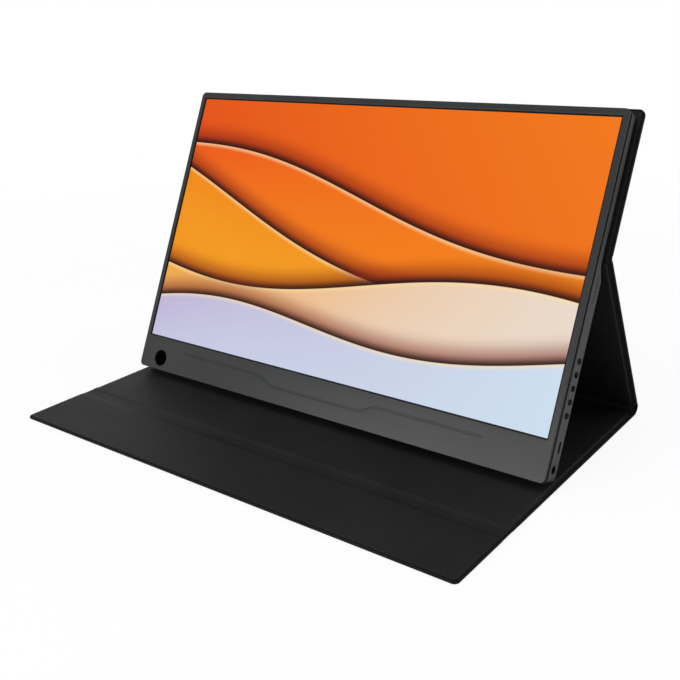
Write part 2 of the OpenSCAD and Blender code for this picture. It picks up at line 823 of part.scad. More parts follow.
// Speaker box with its mouth at the side wall
module speaker() {
    color("#2a2a2c") in_body() difference() {
        span([speaker_x0, speaker_y0, speaker_v - speaker_h / 2],
            [speaker_x0 + speaker_w, speaker_y1, speaker_v + speaker_h / 2]);
        span([speaker_x0 + speaker_w - 1.5, speaker_y0 + 1.2, speaker_v - speaker_h / 2 + 2],
            [speaker_x0 + speaker_w + cut, speaker_y1 - 1.2, speaker_v + speaker_h / 2 - 2]);
    }
}
module speaker_right() { speaker(); }
module speaker_left() { mirror([1, 0, 0]) speaker(); }

// One lead: level from a speaker, then down to its plug on the main board
module lead(x_speaker, x_plug) {
    low = min(x_speaker, x_plug);
    high = max(x_speaker, x_plug);
    translate([0, lead_y, lead_v]) rod_x(low, high, lead_r);
    translate([x_plug, lead_y, lead_plug_z1]) cylinder(h = lead_v - lead_plug_z1, r = lead_r);
    translate([x_plug, lead_y, lead_v]) sphere(lead_r);
}
module speaker_leads() {
    color("#b03a30") in_body() {
        lead(speaker_x0, lead_x + lead_step);
        lead(-speaker_x0, lead_x);
    }
}

module pen_sleeve() {
    color("#151516") in_body() translate([pen_x, 0, pen_v]) difference() {
        rod_y(bezel_t, foot_in, pen_r + pen_wall);
        rod_y(bezel_t - cut, foot_in + cut, pen_r);
    }
}

module magnet_plate() {
    color("#a8acb0") in_body()
        span([-plate_w / 2, upper_in - plate_t, plate_z0], [plate_w / 2, upper_in, plate_z1]);
}

// Screws that hold the rear housing to the bezel's bosses
module housing_screws() {
    color("#2c2c2e") in_body() for (x = screw_xs) translate([x, 0, screw_v]) difference() {
        union() {
            rod_y(bezel_t + 2, screw_head_y1, screw_r);
            rod_y(screw_head_y0, screw_head_y1, screw_head_r);
        }
        for (a = [0, 90]) rotate([0, a, 0])
            span([-1.4, screw_head_y1 - 0.6, -0.3], [1.4, screw_head_y1 + cut, 0.3]);
    }
}

// Screws that hold the boards to the housing
module board_screws() {
    color("#8f9398") in_body() for (p = board_screws_at) translate([p[0], 0, p[1]]) {
        rod_y(board_y0, lower_in - 1, board_screw_r);
        rod_y(board_y0 - board_head_t, board_y0, board_head_r);
    }
}

floor_skin();
floor_board();
floor_lining();
crease_fold();
flap_skin();
flap_board();
flap_lining();
rear_fold();
leg_skin();
leg_board();
leg_lining();
kink_fold();
back_skin();
back_board();
back_lining();
cover_magnets();
front_bezel();
rear_housing();
lcd_cell();
optical_films();
light_guide();
reflector_sheet();
backlight_bar();
panel_tray();
timing_board();
display_cable();
main_board();
board_chips();
side_board();
ribbon_cable();
key_board();
key_switches();
menu_key();
up_key();
down_key();
back_key();
power_key();
status_light();
data_socket();
audio_jack();
video_sockets();
hdmi_socket();
speaker_left();
speaker_right();
speaker_leads();
pen_sleeve();
magnet_plate();
housing_screws();
board_screws();
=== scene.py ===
import json
import math

import bmesh
import bpy
from mathutils import Matrix, Vector, geometry, noise


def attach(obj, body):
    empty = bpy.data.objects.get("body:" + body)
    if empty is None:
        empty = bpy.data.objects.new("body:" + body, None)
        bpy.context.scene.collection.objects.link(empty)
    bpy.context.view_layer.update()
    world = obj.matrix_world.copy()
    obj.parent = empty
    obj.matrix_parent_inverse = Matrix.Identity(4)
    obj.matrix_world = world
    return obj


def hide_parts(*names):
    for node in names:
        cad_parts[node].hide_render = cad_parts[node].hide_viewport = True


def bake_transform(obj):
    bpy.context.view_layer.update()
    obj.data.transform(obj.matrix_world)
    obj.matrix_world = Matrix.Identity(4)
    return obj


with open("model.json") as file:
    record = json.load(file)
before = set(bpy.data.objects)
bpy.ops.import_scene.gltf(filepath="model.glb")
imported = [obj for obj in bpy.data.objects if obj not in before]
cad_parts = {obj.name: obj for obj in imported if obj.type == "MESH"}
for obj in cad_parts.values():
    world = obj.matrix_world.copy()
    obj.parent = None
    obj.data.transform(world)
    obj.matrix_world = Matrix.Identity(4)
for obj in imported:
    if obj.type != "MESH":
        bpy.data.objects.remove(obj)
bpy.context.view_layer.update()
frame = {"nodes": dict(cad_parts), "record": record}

MM = 0.001

# Sizes in millimetres, the same as the CAD model's
SCREEN_W = 344.2
SCREEN_H = 193.6
BORDER = 0.8
SIDE_BEZEL = 4.7
TOP_BEZEL = 5.3
CHIN = 26.5
CORNER_R = 3.5
BEZEL_T = 1.0
SEAM_W = 3.2
RIM_T = 1.0
WALL = 1.8
UPPER_DEPTH = 13.6
FOOT_DEPTH = 15.2
TILT = math.radians(25.3)
KINK_V = 138.4
FOLD_R = 6.0
COVER_W = 360.5
FLOOR_T = 2.4
BACK_T = 3.2
FLAP_CORNER = 3.5
BACK_CORNER = 4.0
CREASE_AHEAD = 50.0
CREASE_W = 10.0
FLAP_LEN = 49.3
FOLD_T = 1.4
KINK_GAP = 3.0
BACK_RISE = 4.4
SLIDE_GAP = 0.3
SEAT_GAP = 0.1
GROOVE_OUT = 131
GROOVE_STEP = 11
GROOVE_IN = 40
GROOVE_V = 17.3
GROOVE_LOW = 11.6
GROOVE_W = 0.9
GROOVE_D = 0.35
PEN_IN = 21.1
PEN_V = 9.4
PEN_R = 6.3
PORT_Y = 10.8
SPEAKER_V = 118.0
SPEAKER_HOLES = 8
SPEAKER_PITCH = 2.1
SPEAKER_ROWS = (-1.1, 1.1)
SPEAKER_AHEAD = 0.7
SPEAKER_HOLE_R = 0.55

# Sizes in millimetres that are the scene's own: the seam's set-back, the ridge inside the cover's
# side edges and its start, the fading of the cloth's unevenness, the gauze that paints shade into
# the speaker holes, the panel and the lining
BAND_D = 0.3
RIDGE_IN = 3.5
RIDGE_W = 1.8
RIDGE_H = 0.6
RIDGE_FADE = 8
RIPPLE_FADE = 12
GAUZE_SHADE_DEPTH = 0.05
PANEL_OVER = 1
PANEL_UNDER = 5
PANEL_BEHIND = (0.05, 1.25)
PICTURE_BEHIND = 0.03
LINING_IN = 1.5

# Roundings of edges and hair-thin gaps, in millimetres
BEZEL_ROUND = 0.3
OPENING_ROUND = 0.5
OPENING_CORNER = 0.4
HOUSING_ROUND = 0.35
KEY_ROUND = 0.3
LEATHER_ROUND = 1.0
LINING_ROUND = 0.2
PANEL_ROUND = 0.05
LAP = 0.01
SKIN_GAP = 0.02

# How finely the cover's sheets are cut up: steps in millimetres, or steps to a quarter turn
STEP_ALONG = 4.0
STEP_ACROSS = 9.0
STEP_AT_EDGE = 0.4
EDGE_ZONE = 7.0
EDGE_STEPS = 4
CORNER_STEPS = 7

# Texture scales in waves per metre and relief in metres
BLOTCHES = 18
GRAIN = 900
LEATHER_BLOTCHES = 14
PEBBLES = 900
PORES = 3200
WRINKLES = 55
FINE_RELIEF = 0.00002
PEBBLE_RELIEF = 0.00012
WRINKLE_RELIEF = 0.0003
TWILL_PITCH = 0.0015
# Most of a noise's values lie between these two
NOISE_BODY = (0.3, 0.7)

BODY_H = CHIN + SCREEN_H + TOP_BEZEL
SIDE_X = SCREEN_W / 2 + SIDE_BEZEL
SEAM_END = BEZEL_T + SEAM_W
EDGE_R = FOLD_R - FLOOR_T - SLIDE_GAP
EDGE_Y = EDGE_R * math.sin(TILT) + (FOOT_DEPTH - EDGE_R) * math.cos(TILT)
BODY_Z = FOLD_R - EDGE_R * math.cos(TILT) + (FOOT_DEPTH - EDGE_R) * math.sin(TILT)
KINK_W = UPPER_DEPTH + SEAT_GAP + BACK_T / 2
KINK_Y = KINK_V * math.sin(TILT) + KINK_W * math.cos(TILT)
KINK_Z = BODY_Z + KINK_V * math.cos(TILT) - KINK_W * math.sin(TILT)
FOLD_Y = 2 * KINK_Y - EDGE_Y
LEG_SPAN = math.hypot(FOLD_Y - KINK_Y, KINK_Z - FOLD_R)
LEG_MID = FOLD_R - BACK_T / 2
LEAN = math.atan2(FOLD_Y - KINK_Y, KINK_Z - FOLD_R) + math.asin(LEG_MID / LEG_SPAN)
LEG_TOP = math.sqrt(LEG_SPAN**2 - LEG_MID**2)
LEG_LEN = LEG_TOP - KINK_GAP
CREASE_REAR = -CREASE_AHEAD + CREASE_W / 2
CREASE_FRONT = -CREASE_AHEAD - CREASE_W / 2
FRONT_Y = CREASE_FRONT - FLAP_LEN
FRAME_Y = (FRONT_Y + FOLD_Y + FOLD_R) / 2
BACK_LEN = BODY_H + BACK_RISE - KINK_V - KINK_GAP


def body_yz(y, z):
    """Depth and height in the monitor's own frame, turned into the floor's frame."""
    c = math.cos(TILT)
    s = math.sin(TILT)
    return y * c + z * s, BODY_Z - y * s + z * c


def leg_yz(y, z):
    """Depth and height in the leg's own frame, turned into the floor's frame."""
    c = math.cos(LEAN)
    s = math.sin(LEAN)
    return FOLD_Y + y * c - z * s, FOLD_R + y * s + z * c


def at(x, y, z):
    """A point of the floor's frame in the part's frame, in metres."""
    return Vector((x, y - FRAME_Y, z)) * MM


def in_body(x, y, z):
    """A point of the monitor's own frame in the part's frame, in metres."""
    return at(x, *body_yz(y, z))


def rgb(code):
    """A colour written as in a picture, in linear light."""
    parts = [int(code[i : i + 2], 16) / 255 for i in (1, 3, 5)]
    return [c / 12.92 if c <= 0.04045 else ((c + 0.055) / 1.055) ** 2.4 for c in parts] + [1]


class Nodes:
    """A shader's node tree and short ways to add to it."""

    def __init__(self, tree):
        self.tree = tree

    def put(self, socket, value):
        if isinstance(value, bpy.types.NodeSocket):
            self.tree.links.new(value, socket)
        else:
            socket.default_value = value

    def node(self, kind, out=0, inputs=(), **props):
        made = self.tree.nodes.new("ShaderNode" + kind)
        for key, value in props.items():
            setattr(made, key, value)
        for key, value in dict(inputs).items():
            self.put(made.inputs[key], value)
        return made.outputs[out]

    def math(self, op, a, b=0.0, c=0.0):
        return self.node("Math", inputs={0: a, 1: b, 2: c}, operation=op)

    def split(self, vector):
        """The X, Y and Z of a vector."""
        return list(self.node("SeparateXYZ", 0, {0: vector}).node.outputs)

    def noise(self, vector, scale, detail=3.0, rough=0.5):
        inputs = {"Vector": vector, "Scale": scale, "Detail": detail, "Roughness": rough}
        return self.node("TexNoise", 0, inputs)

    def span(self, value, a, b, to_a=0.0, to_b=1.0, kind="SMOOTHSTEP"):
        """The value's way from a to b, as a number from to_a to to_b."""
        inputs = {0: value, 1: a, 2: b, 3: to_a, 4: to_b}
        return self.node("MapRange", 0, inputs, interpolation_type=kind)

    def mix(self, share, a, b):
        out = self.node("Mix", 2, {0: share}, data_type="RGBA")
        for i, value in ((6, a), (7, b)):
            self.put(out.node.inputs[i], rgb(value) if isinstance(value, str) else value)
        return out

    def bump(self, height, distance, strength=1.0, under=None):
        inputs = {"Height": height, "Distance": distance, "Strength": strength}
        if under is not None:
            inputs["Normal"] = under
        return self.node("Bump", inputs=inputs)

    def seen_directly(self, mirrored_share=None):
        """1 for rays that should meet the white background: straight, mirrored or through glass."""
        ray = self.node("LightPath").node.outputs
        mirrored = self.math("MAXIMUM", ray["Is Glossy Ray"], ray["Is Transmission Ray"])
        if mirrored_share:
            mirrored = self.math("MULTIPLY", mirrored, mirrored_share)
        return self.math("MAXIMUM", ray["Is Camera Ray"], mirrored)


class Finish(Nodes):
    """A Principled material."""

    def __init__(self, name, colour, rough, metal=0.0, spec=0.5):
        self.mat = bpy.data.materials.new(name)
        self.mat.use_nodes = True
        super().__init__(self.mat.node_tree)
        self.bsdf = self.tree.nodes["Principled BSDF"]
        self.set("Base Color", rgb(colour))
        self.set("Roughness", rough)
        self.set("Metallic", metal)
        self.set("Specular IOR Level", spec)

    def set(self, name, value):
        self.put(self.bsdf.inputs[name], value)


def moulded(name, colours, rough, metal=0.0, spec=0.5):
    """Moulded, painted or plated surface: fine grain, and a little change of colour and gloss."""
    f = Finish(name, colours[0], rough[0], metal, spec)
    place = f.node("TexCoord", "Object")
    f.set("Base Color", f.mix(f.span(f.noise(place, BLOTCHES), *NOISE_BODY), *colours))
    fine = f.noise(place, GRAIN, 2, 0.6)
    f.set("Roughness", f.span(fine, *NOISE_BODY, *rough, "LINEAR"))
    f.set("Normal", f.bump(fine, FINE_RELIEF))
    return f.mat


def leather(name, colours, rough, spec, twill_pitch=None):
    """Leather cloth over the sheet's flat coordinates, pebbled or with a twill pressed in."""
    f = Finish(name, colours[0], rough[0], 0, spec)
    flat = f.node("TexCoord", "UV")
    wide = f.noise(flat, LEATHER_BLOTCHES, 4, 0.55)
    f.set("Base Color", f.mix(f.span(wide, *NOISE_BODY), *colours))
    if twill_pitch:
        u, v, _ = f.split(flat)
        turns = 2 * math.pi / (twill_pitch * math.sqrt(2))
        stroke = f.math("SINE", f.math("MULTIPLY", f.math("ADD", u, v), turns))
        across = f.math("SINE", f.math("MULTIPLY", f.math("SUBTRACT", u, v), turns / 3))
        normal = f.bump(f.math("MULTIPLY_ADD", across, 0.4, stroke), FINE_RELIEF, 0.8)
    else:
        inputs = {"Vector": flat, "Scale": PEBBLES, "Randomness": 0.9}
        normal = f.bump(f.node("TexVoronoi", 0, inputs, feature="SMOOTH_F1"), PEBBLE_RELIEF, 0.7)
    fine = f.noise(flat, PORES, 3, 0.6)
    normal = f.bump(fine, FINE_RELIEF, 0.6, normal)
    f.set("Normal", f.bump(f.noise(flat, WRINKLES), WRINKLE_RELIEF, 0.35, normal))
    # Worn spots follow the wide blotches and the pores, whose sum spreads less than either
    worn = f.math("MULTIPLY_ADD", fine, 0.4, f.math("MULTIPLY", wide, 0.6))
    f.set("Roughness", f.span(worn, 0.35, 0.65, *rough, "LINEAR"))
    return f.mat


def picture():
    """The lit picture: a generic design of smooth coloured waves, each shading the one behind."""
    f = Finish("screen_picture", "#050505", 0.5, 0, 0.04)
    u, v, _ = f.split(f.node("TexCoord", "UV"))
    # Each wave's height at the left, slope, swing, turns, start, and its colours at left and right
    waves = [
        (0.79, -0.26, 0.055, 5.3, 0.5, "#ee5a12", "#f98a14"),
        (0.66, -0.36, 0.085, 4.3, 2.5, "#f28c10", "#fbab24"),
        (0.34, 0.02, 0.075, 4.9, 3.6, "#f4ac44", "#ecdccd"),
        (0.13, 0.10, 0.060, 5.6, 0.7, "#c3b8da", "#cfe0f1"),
    ]
    glow_reach, shade_reach, body_reach, rim_reach, sharp = 0.11, 0.035, 0.22, 0.018, 0.0012
    slant = f.math("MULTIPLY_ADD", v, 0.3, f.math("MULTIPLY", u, 0.7))
    colour = f.mix(slant, "#e03c0c", "#f57a16")
    for left, slope, swing, turns, start, near, far in waves:
        line = f.math("MULTIPLY_ADD", u, slope, left)
        swell = f.math("SINE", f.math("MULTIPLY_ADD", u, turns, start))
        above = f.math("SUBTRACT", v, f.math("MULTIPLY_ADD", swell, swing, line))
        glow = f.span(above, 0.0, glow_reach, 0.75, 0.0, "SMOOTHERSTEP")
        colour = f.mix(glow, colour, "#8a1f06")
        colour = f.mix(f.span(above, 0.0, shade_reach, 0.95, 0.0), colour, "#140303")
        wave = f.mix(u, near, far)
        wave = f.mix(f.span(above, -body_reach, 0.0, 0.35, 0.0), wave, far)
        wave = f.mix(f.span(above, -rim_reach, 0.0, 0.0, 0.6), wave, "#ffe2a6")
        colour = f.mix(f.span(above, -sharp, sharp, 1.0, 0.0, "LINEAR"), colour, wave)
    f.set("Emission Color", colour)
    f.set("Emission Strength", 0.97)
    return f.mat


FINISHES = {
    "leather": leather("cover_leather", ("#0d0d0d", "#131313"), (0.5, 0.62), 0.05),
    "lining": leather("cover_lining", ("#161616", "#1b1b1b"), (0.5, 0.62), 0.16, TWILL_PITCH),
    "bezel": moulded("bezel_plastic", ("#222324", "#272829"), (0.34, 0.4), 0.0, 0.18),
    "seam": moulded("seam_black", ("#080808", "#0c0c0c"), (0.55, 0.65), 0.0, 0.03),
    "housing": moulded("housing_metal", ("#29292a", "#303031"), (0.44, 0.54), 0.0, 0.15),
    "glass": moulded("screen_border", ("#050506", "#08080a"), (0.4, 0.46), 0.0, 0.1),
    "picture": picture(),
    "key": moulded("key_plastic", ("#020202", "#040404"), (0.4, 0.5), 0.0, 0.01),
    "black": moulded("black_plastic", ("#060606", "#0b0b0b"), (0.42, 0.54), 0.0, 0.04),
    # Near-black and without reflection, so the gauze shows in the speaker holes as painted shade
    "mesh": moulded("gauze_black_painted_shade", ("#020202", "#040404"), (0.7, 0.8), 0.0, 0.0),
    "shell": moulded("socket_steel", ("#3c3e41", "#4a4c4f"), (0.3, 0.42), 1.0),
    "zinc": moulded("tray_steel", ("#9da2a6", "#b0b4b7"), (0.34, 0.48), 1.0),
    "steel": moulded("switch_steel", ("#a2a5a9", "#b7babd"), (0.25, 0.38), 1.0),
    "circuit": moulded("circuit_board", ("#14532c", "#1c6a39"), (0.3, 0.42)),
    "chip": moulded("chip_black", ("#131314", "#1d1d1f"), (0.4, 0.55), 0.0, 0.4),
    "film": moulded("film_white", ("#dfe1e5", "#eef0f2"), (0.25, 0.35)),
    "acrylic": moulded("acrylic_clear", ("#c9dce8", "#d9e8f0"), (0.08, 0.14)),
    "white": moulded("reflector_white", ("#eeeeee", "#f8f8f8"), (0.5, 0.6)),
    "strip": moulded("led_strip", ("#efe3ad", "#f7efcc"), (0.4, 0.5)),
    "flex": moulded("flex_amber", ("#b98a2c", "#cf9f3c"), (0.3, 0.4)),
    "ribbon": moulded("ribbon_white", ("#cfcabd", "#e0dccf"), (0.4, 0.5)),
    "lens": moulded("light_lens", ("#0c0e0f", "#121415"), (0.3, 0.4), 0.0, 0.05),
    "lead": moulded("lead_pvc", ("#9c2a22", "#b53a30"), (0.35, 0.45)),
    "magnet": moulded("magnet_nickel", ("#b9bcc0", "#cdd0d3"), (0.16, 0.24), 1.0),
    "card": moulded("grey_board", ("#7a6a52", "#8d7c62"), (0.75, 0.85), 0.0, 0.3),
    "screw": moulded("screw_steel", ("#2a2a2c", "#39393b"), (0.3, 0.42), 0.9),
    "bright_screw": moulded("board_screw_steel", ("#8f9296", "#a6a9ad"), (0.22, 0.34), 1.0),
}
CAD_FINISH = {
    "card": ["floor_board", "flap_board", "leg_board", "back_board"],
    "magnet": ["cover_magnets"],
    "film": ["optical_films"],
    "acrylic": ["light_guide"],
    "white": ["reflector_sheet"],
    "strip": ["backlight_bar"],
    "zinc": ["panel_tray", "magnet_plate"],
    "circuit": ["timing_board", "main_board", "side_board", "key_board"],
    "flex": ["display_cable"],
    "chip": ["board_chips"],
    "ribbon": ["ribbon_cable"],
    "steel": ["key_switches"],
    "lens": ["status_light"],
    "shell": ["data_socket", "video_sockets", "hdmi_socket"],
    "key": ["audio_jack"],
    "black": ["speaker_left", "speaker_right", "pen_sleeve"],
    "lead": ["speaker_leads"],
    "screw": ["housing_screws"],
    "bright_screw": ["board_screws"],
}
for key, names in CAD_FINISH.items():
    for name in names:
        frame["nodes"][name].data.materials[0] = FINISHES[key]


def to_object(name, bm, finish):
    bmesh.ops.recalc_face_normals(bm, faces=bm.faces)
    mesh = bpy.data.meshes.new(name)
    bm.to_mesh(mesh)
    bm.free()
    mesh.materials.append(FINISHES[finish])
    piece = bpy.data.objects.new(name, mesh)
    bpy.context.scene.collection.objects.link(piece)
    return piece


def smooth(piece, degrees=35):
    """Smooth shading that keeps edges sharper than the angle."""
    bm = bmesh.new()
    bm.from_mesh(piece.data)
    for f in bm.faces:
        f.smooth = True
    for e in bm.edges:
        e.smooth = len(e.link_faces) == 2 and e.calc_face_angle(0) < math.radians(degrees)
    bm.to_mesh(piece.data)
    bm.free()
    mod = piece.modifiers.new("even_faces", "WEIGHTED_NORMAL")
    mod.keep_sharp = True
    return piece


def softened(node, width, finish, body, pick=None):
    """A copy of a CAD node with its sharp edges rounded off, which stands for that node."""
    weld = 0.002 * MM
    nearly_flat = 0.01
    sharp = 0.6
    bm = bmesh.new()
    bm.from_mesh(frame["nodes"][node].data)
    bmesh.ops.remove_doubles(bm, verts=bm.verts, dist=weld)
    bmesh.ops.dissolve_limit(bm, angle_limit=nearly_flat, verts=bm.verts, edges=bm.edges)
    edges = [e for e in bm.edges if len(e.link_faces) == 2 and e.calc_face_angle(0) > sharp]
    if pick:
        edges = [e for e in edges if pick(e)]
    rounding_off = {"offset": width * MM, "segments": 3, "profile": 0.5, "affect": "EDGES"}
    bmesh.ops.bevel(bm, geom=edges, clamp_overlap=True, **rounding_off)
    bmesh.ops.triangulate(bm, faces=[f for f in bm.faces if len(f.verts) > 4])
    piece = smooth(to_object(node + "_piece", bm, finish))
    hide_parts(node)
    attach(piece, body)


def arc(cx, cy, r, a0, a1, steps):
    angles = [a0 + (a1 - a0) * i / steps for i in range(steps + 1)]
    return [(cx + r * math.cos(a), cy + r * math.sin(a)) for a in angles]


def circle(cx, cy, r, steps):
    return arc(cx, cy, r, 0, 2 * math.pi, steps)[:-1]


def rectangle(x0, y0, x1, y1):
    return [(x0, y0), (x1, y0), (x1, y1), (x0, y1)]


def round_rect(x0, y0, x1, y1, r, steps=10):
    """Counter-clockwise rectangle with round corners."""
    q = math.pi / 2
    corners = [(x1 - r, y0 + r), (x1 - r, y1 - r), (x0 + r, y1 - r), (x0 + r, y0 + r)]
    return [p for i, (x, y) in enumerate(corners) for p in arc(x, y, r, (i - 1) * q, i * q, steps)]


def inset(loop, d):
    """The loop moved by d to its left, with mitred corners."""
    moved = []
    for i, here in enumerate(loop):
        before = Vector(loop[i - 1])
        after = Vector(loop[(i + 1) % len(loop)])
        here = Vector(here)
        n1 = (here - before).orthogonal().normalized()
        n2 = (after - here).orthogonal().normalized()
        mitre = (n1 + n2) / max((n1 + n2).dot(n1), 0.2)
        moved.append(tuple(here + mitre * d))
    return moved


def plate(bm, outer, holes, y0, y1, round_, hole_round=0.0, steps=3):
    """A plate between two depths with rounded front edges. The loops run counter-clockwise."""
    fronts = []
    backs = []
    for loop in [outer] + [hole[::-1] for hole in holes]:
        if fronts:
            round_ = hole_round
        rings = []
        for i in range(steps + 1):
            a = math.pi / 2 * i / steps
            ring = inset(loop, round_ * (1 - math.sin(a)))
            y = y0 + round_ * (1 - math.cos(a))
            rings.append([bm.verts.new(in_body(x, y, z)) for x, z in ring])
        rings.append([bm.verts.new(in_body(x, y1, z)) for x, z in loop])
        for r0, r1 in zip(rings, rings[1:]):
            for i in range(len(r0)):
                j = (i + 1) % len(r0)
                bm.faces.new((r0[i], r1[i], r1[j], r0[j]))
        fronts.append((inset(loop, round_), rings[0]))
        backs.append((loop, rings[-1]))
    for side in (fronts, backs):
        verts = [v for _, ring in side for v in ring]
        flat = [[Vector((x, z, 0)) for x, z in loop] for loop, _ in side]
        for corners in geometry.tessellate_polygon(flat):
            bm.faces.new([verts[i] for i in corners])


def groove_outline():
    """Line in the chin: level at both sides, stepping down to a lower run in the middle."""
    half = GROOVE_W / 2
    mitre = half * math.tan(math.atan2(GROOVE_V - GROOVE_LOW, GROOVE_STEP) / 2)
    high = GROOVE_IN + GROOVE_STEP
    right = [
        (GROOVE_IN + mitre, GROOVE_LOW - half),
        (high + mitre, GROOVE_V - half),
        (GROOVE_OUT, GROOVE_V - half),
        (GROOVE_OUT, GROOVE_V + half),
        (high - mitre, GROOVE_V + half),
        (GROOVE_IN - mitre, GROOVE_LOW + half),
    ]
    return right + [(-x, z) for x, z in reversed(right)]


def build_bezel():
    """Front plate, and the black band of the seam behind it."""
    open_x = SCREEN_W / 2 + BORDER
    opening = round_rect(
        -open_x, CHIN - BORDER, open_x, CHIN + SCREEN_H + BORDER, OPENING_CORNER, 3
    )
    holes = [opening, circle(-SIDE_X + PEN_IN, PEN_V, PEN_R, 64), groove_outline()]
    outline = round_rect(-SIDE_X, 0, SIDE_X, BODY_H, CORNER_R)
    bm = bmesh.new()
    plate(bm, outline, holes, 0, BEZEL_T, BEZEL_ROUND, OPENING_ROUND)
    past = 3
    under_groove = rectangle(
        -GROOVE_OUT - past, GROOVE_LOW - past, GROOVE_OUT + past, GROOVE_V + past
    )
    plate(bm, under_groove, [], GROOVE_D, BEZEL_T - SKIN_GAP, PANEL_ROUND, steps=1)
    face = smooth(to_object("bezel_face", bm, "bezel"))
    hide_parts("front_bezel")
    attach(face, "monitor")

    bm = bmesh.new()
    band = round_rect(
        -SIDE_X + BAND_D, BAND_D, SIDE_X - BAND_D, BODY_H - BAND_D, CORNER_R - BAND_D
    )
    hollow = [inset(band, RIM_T)]
    plate(bm, band, hollow, BEZEL_T - LAP, SEAM_END, PANEL_ROUND, PANEL_ROUND, steps=1)
    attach(smooth(to_object("seam_band", bm, "seam")), "monitor")


def build_screen():
    """Black panel whose edge shows as a border, and the lit picture on it."""
    x1 = SCREEN_W / 2 + BORDER + PANEL_OVER
    z0 = CHIN - BORDER - PANEL_UNDER
    z1 = CHIN + SCREEN_H + BORDER + PANEL_OVER
    front, back = (BEZEL_T + y for y in PANEL_BEHIND)
    bm = bmesh.new()
    plate(bm, rectangle(-x1, z0, x1, z1), [], front, back, PANEL_ROUND, steps=1)
    panel = smooth(to_object("screen_glass", bm, "glass"))
    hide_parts("lcd_cell")
    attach(panel, "monitor")

    bm = bmesh.new()
    uv = bm.loops.layers.uv.new("UVMap")
    corners = rectangle(0, 0, 1, 1)
    depth = BEZEL_T + PICTURE_BEHIND
    places = [in_body((u - 0.5) * SCREEN_W, depth, CHIN + v * SCREEN_H) for u, v in corners]
    face = bm.faces.new([bm.verts.new(p) for p in places])
    for loop, corner in zip(face.loops, corners):
        loop[uv].uv = corner
    lit = to_object("screen_picture", bm, "picture")
    # Studio flash is far brighter than the picture, so the picture throws no light on the cover
    lit.visible_diffuse = False
    lit.visible_glossy = False
    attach(lit, "monitor")


def build_speaker_gauze_shade():
    """Black gauze just inside the speaker holes of both sides, filling them as painted shade of the
    holes.
    """
    bm = bmesh.new()
    corners = 12
    spots = [(i, row) for i in range(SPEAKER_HOLES) for row in SPEAKER_ROWS]
    for sign in (-1, 1):
        for i, row in spots:
            lift = math.copysign(SPEAKER_PITCH / 4, row)
            z = SPEAKER_V + (i - (SPEAKER_HOLES - 1) / 2) * SPEAKER_PITCH + lift
            y0 = PORT_Y - SPEAKER_AHEAD + row
            ring = circle(y0, z, SPEAKER_HOLE_R - SKIN_GAP, corners)
            ends = []
            # Plugs from just under the surface to the wall's back: the holes show them as painted
            # shade
            for depth in (GAUZE_SHADE_DEPTH, WALL):
                x = sign * (SIDE_X - depth)
                ends.append([bm.verts.new(in_body(x, y, v)) for y, v in ring])
            for j in range(corners):
                k = (j + 1) % corners
                bm.faces.new((ends[0][j], ends[0][k], ends[1][k], ends[1][j]))
            for end in ends:
                bm.faces.new(end)
    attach(smooth(to_object("speaker_gauze_painted_shade", bm, "mesh")), "monitor")


def on_front_rim(e):
    """Whether an edge lies on the rear housing's front rim, next to the seam."""
    inner = WALL - 0.1
    level = 0.01
    for v in e.verts:
        x = v.co.x / MM
        y = v.co.y / MM + FRAME_Y
        z = v.co.z / MM - BODY_Z
        depth = y * math.cos(TILT) - z * math.sin(TILT)
        up = y * math.sin(TILT) + z * math.cos(TILT)
        inside = abs(x) < SIDE_X - inner and inner < up < BODY_H - inner
        if abs(depth - SEAM_END) > level or inside:
            return False
    return True


def smoothstep(t):
    t = max(0.0, min(1.0, t))
    return t * t * (3 - 2 * t)


def floor_path(s):
    return FRONT_Y + s, 0.0, 0.0, 1.0


def floor_depths(s):
    """Lower and upper face of the floor panel and flap, with the shallow crease between them."""
    soft = 2.4
    off = abs(FRONT_Y + s + CREASE_AHEAD)
    thin = (FLOOR_T - FOLD_T) / 2 * smoothstep((CREASE_W / 2 + soft - off) / (2 * soft))
    return thin, FLOOR_T - thin


FOLD_ARC = FOLD_R * (math.pi / 2 + LEAN)


def leg_path(s):
    """Outer face of the cover, round the rear fold and up the leg."""
    if s <= FOLD_ARC:
        a = s / FOLD_R - math.pi / 2
        c = math.cos(a)
        d = math.sin(a)
        return FOLD_Y + FOLD_R * c, FOLD_R + FOLD_R * d, -c, -d
    y, z = leg_yz(FOLD_R, s - FOLD_ARC)
    return y, z, -math.cos(LEAN), -math.sin(LEAN)


def leg_depths(s):
    soft = 2.5
    start = (FLOOR_T - FOLD_T) * smoothstep((soft - s) / soft)
    end = (BACK_T - FOLD_T) * smoothstep((s - FOLD_ARC + soft) / soft)
    return 0.0, FOLD_T + start + end


def back_path(s):
    """The middle of the cover's thickness, round the upper fold and up the back panel."""
    soft = 2.2
    if s < KINK_GAP - soft:
        y, z = leg_yz(LEG_MID, LEG_LEN + s)
        return y, z, -math.cos(LEAN), -math.sin(LEAN)
    if s > KINK_GAP + soft:
        y, z = body_yz(KINK_W, KINK_V + s - KINK_GAP)
        return y, z, -math.cos(TILT), math.sin(TILT)
    t = (s - KINK_GAP + soft) / (2 * soft)
    p0 = Vector(leg_yz(LEG_MID, LEG_TOP - soft))
    p1 = Vector((KINK_Y, KINK_Z))
    p2 = Vector(body_yz(KINK_W, KINK_V + soft))
    p = p0 * (1 - t) ** 2 + p1 * 2 * t * (1 - t) + p2 * t**2
    d = ((p1 - p0) * (1 - t) + (p2 - p1) * t).normalized()
    return p.x, p.y, -d.y, d.x


def back_depths(s):
    thinnest = 0.9
    soft = 2.1
    thin = 1 - smoothstep((abs(s - KINK_GAP) - thinnest) / soft)
    h = (BACK_T - (BACK_T - FOLD_T) * thin) / 2
    return -h, h


